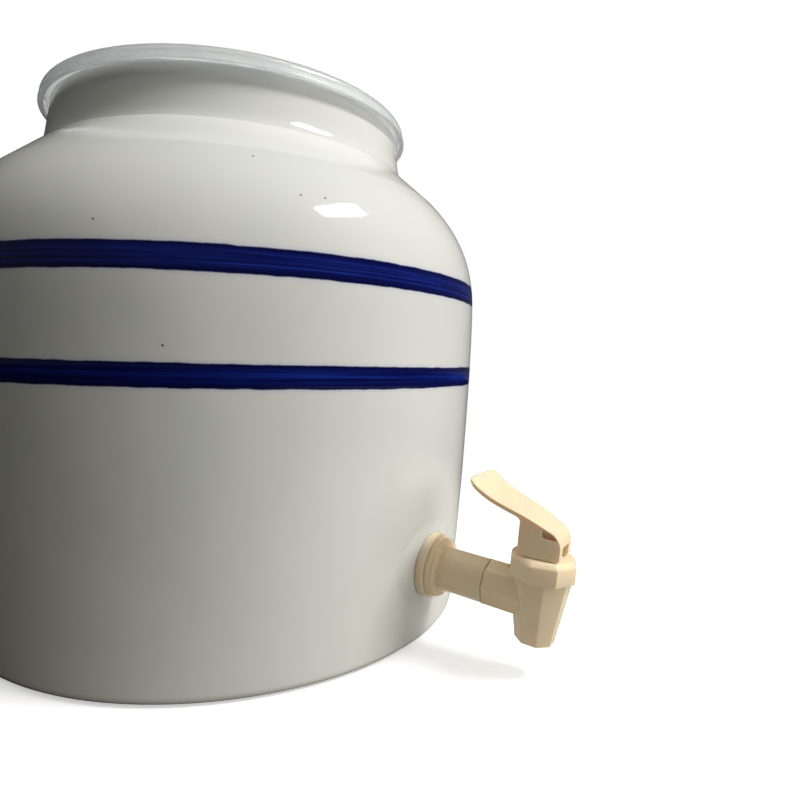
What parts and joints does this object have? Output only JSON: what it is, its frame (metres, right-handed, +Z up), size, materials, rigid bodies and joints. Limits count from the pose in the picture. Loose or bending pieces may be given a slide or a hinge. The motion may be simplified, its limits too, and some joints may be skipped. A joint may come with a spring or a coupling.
{
  "type": "water crock with tap",
  "caption": "Glazed porcelain water crock with two blue bands, a plastic bottle ring on its rim and a spring lever tap low on its side.",
  "frame": {"origin": "on the crock's axis, on the face it stands on", "axes": "+Z up along the crock's axis, -Y out along the tap, +X to the right of someone who faces the tap"},
  "size_m": [0.266, 0.3294, 0.2539],
  "materials": {
    "glaze": "glossy off-white glaze, slightly wavy, with a few pinholes",
    "cobalt": "glossy cobalt blue under the glaze, brushed on a wheel",
    "ring_plastic": "milky translucent, bluish white",
    "tap_plastic": "glossy cream, slightly translucent",
    "seal_rubber": "soft, pale and matt",
    "steel": "drawn stainless wire"
  },
  "bodies": {
    "crock_with_tap": {"crock": "glaze", "lower_band": "cobalt", "upper_band": "cobalt", "outer_washer": "tap_plastic", "shank": "tap_plastic", "inner_washer": "seal_rubber", "lock_nut": "tap_plastic", "tap_body": "tap_plastic", "spigot_oring": "seal_rubber", "bonnet": "tap_plastic", "bonnet_gasket": "seal_rubber", "gland_washer": "tap_plastic", "stem_oring": "seal_rubber", "return_spring": "steel"},
    "ring": {"bottle_ring": "ring_plastic"},
    "plunger": {"valve_seal": "seal_rubber"},
    "rod": {"stem": "tap_plastic", "lever_pin": "steel"},
    "handle": {"lever": "tap_plastic"}
  },
  "joints": [
    {"name": "ring_lift", "type": "slide", "parent": "crock_with_tap", "child": "ring", "axis": [0, 0, 1], "range_m": [0, 0.06]},
    {"name": "stem_lift", "type": "slide", "parent": "crock_with_tap", "child": "plunger", "axis": [0, -0.0698, 0.9976], "range_m": [0, 0.00166], "deforming": ["return_spring"]},
    {"name": "lever_swivel", "type": "hinge", "parent": "plunger", "child": "rod", "pos_m": [0, -0.18115, 0.03372], "axis": [0, -0.0698, 0.9976], "continuous": true},
    {"name": "lever_press", "type": "hinge", "parent": "rod", "child": "handle", "pos_m": [0, -0.18295, 0.05946], "axis": [-1, 0, 0], "range_deg": [0, 25], "stiffness_Nm_per_rad": 0.08, "springref_deg": -17.19}
  ],
  "couplings": [
    {"joint": "lever_press", "follows": "stem_lift", "rad_per_m": 263.16}
  ]
}
